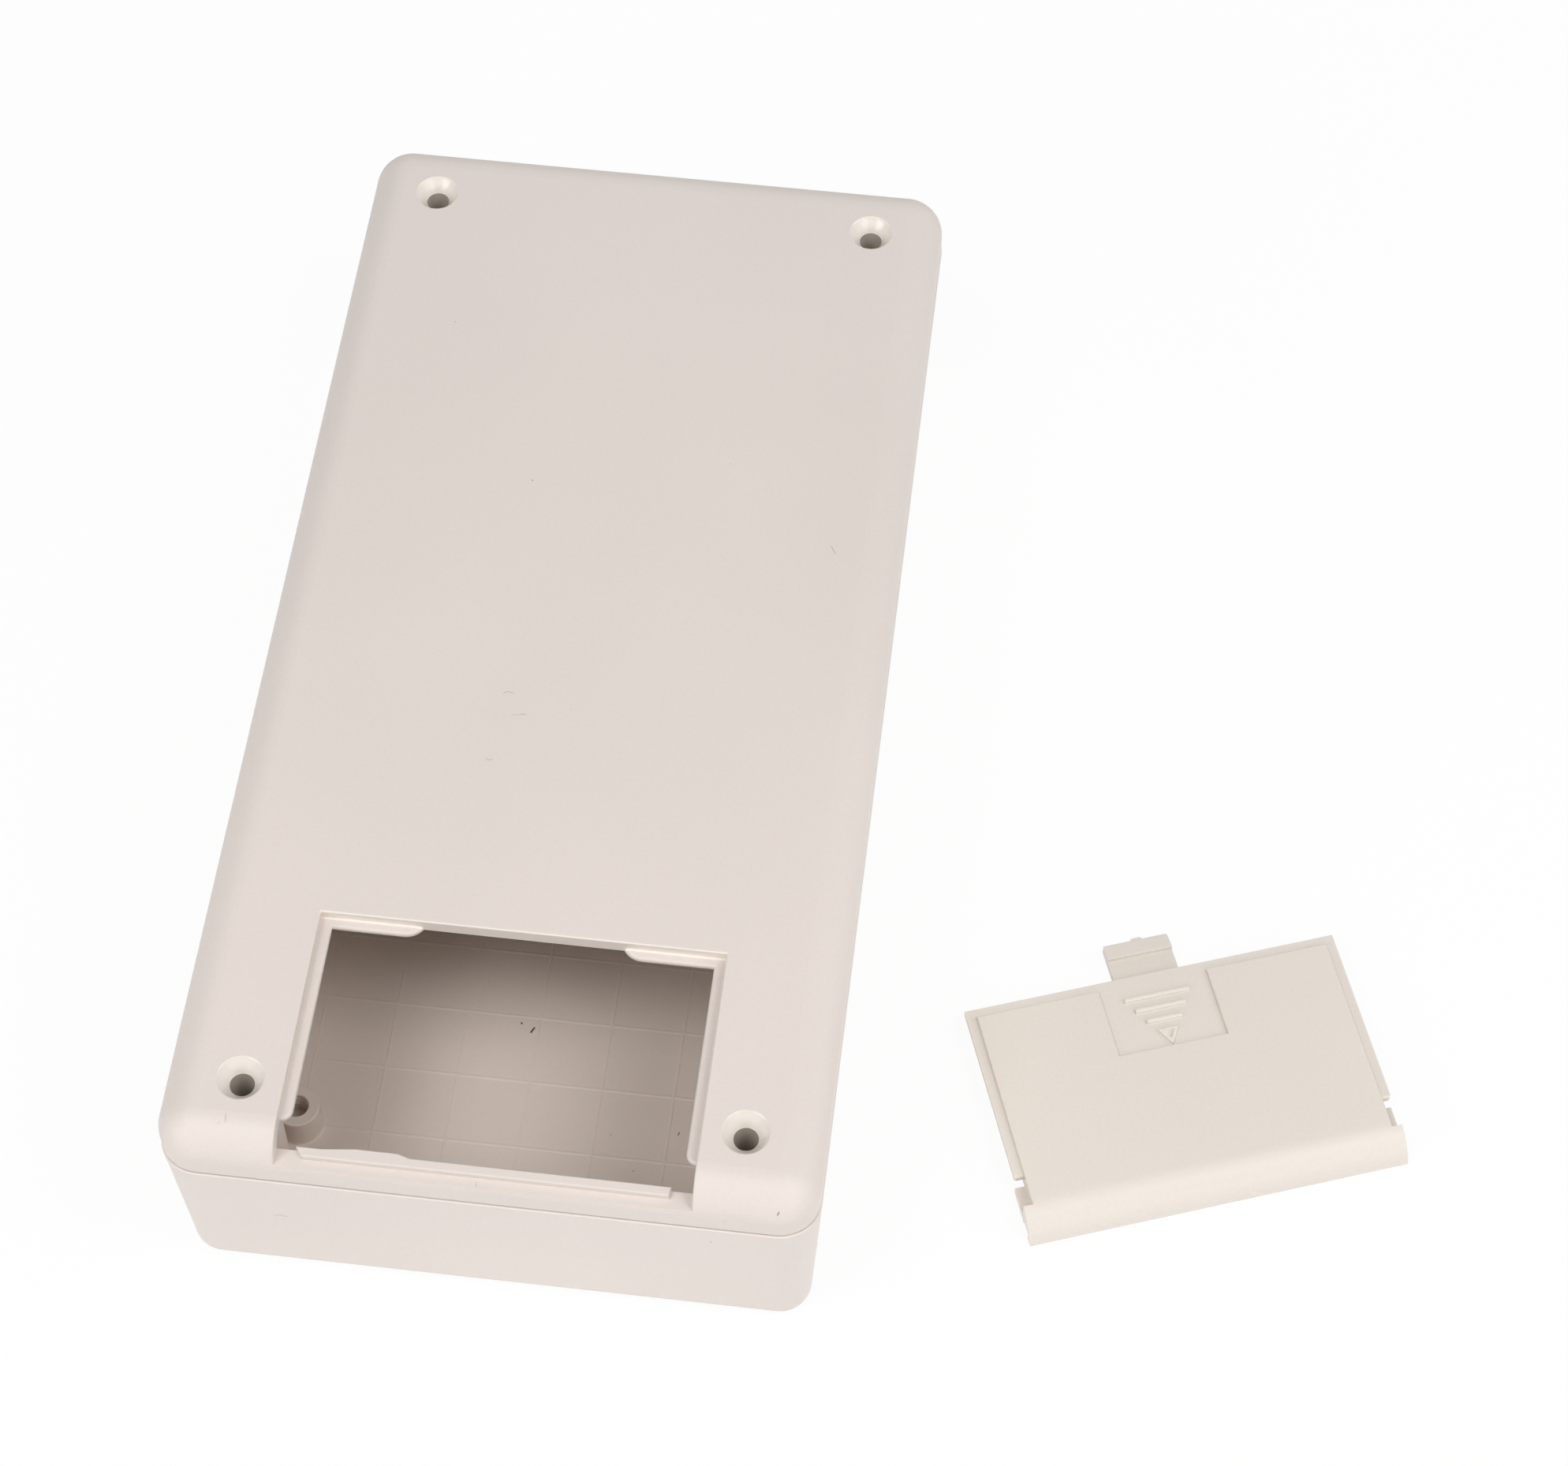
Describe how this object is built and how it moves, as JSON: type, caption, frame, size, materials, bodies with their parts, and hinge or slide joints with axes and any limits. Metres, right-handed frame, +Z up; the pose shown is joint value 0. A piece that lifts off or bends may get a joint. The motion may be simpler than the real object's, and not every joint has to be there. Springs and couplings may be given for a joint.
{
  "type": "handheld enclosure",
  "caption": "Handheld enclosure of split rounded shells with countersunk screw holes and an open battery bay, its slide-off latch cover lying beside it.",
  "frame": {"origin": "middle of the front shell's flat outer face, on the surface that the case lies on", "axes": "+Z up from the front face to the rear cover, +Y along the case away from the battery opening, +X towards the loose battery cover"},
  "size_m": [0.1626, 0.169, 0.036],
  "materials": {
    "rear_cover": "fine moulded texture, warm light grey beige",
    "front_shell": "fine moulded texture, warm light grey beige",
    "battery_cover": "fine moulded texture, warm light grey beige"
  },
  "bodies": {
    "root": {"rear_cover": "rear_cover", "front_shell": "front_shell", "battery_cover": "battery_cover"}
  },
  "joints": []
}
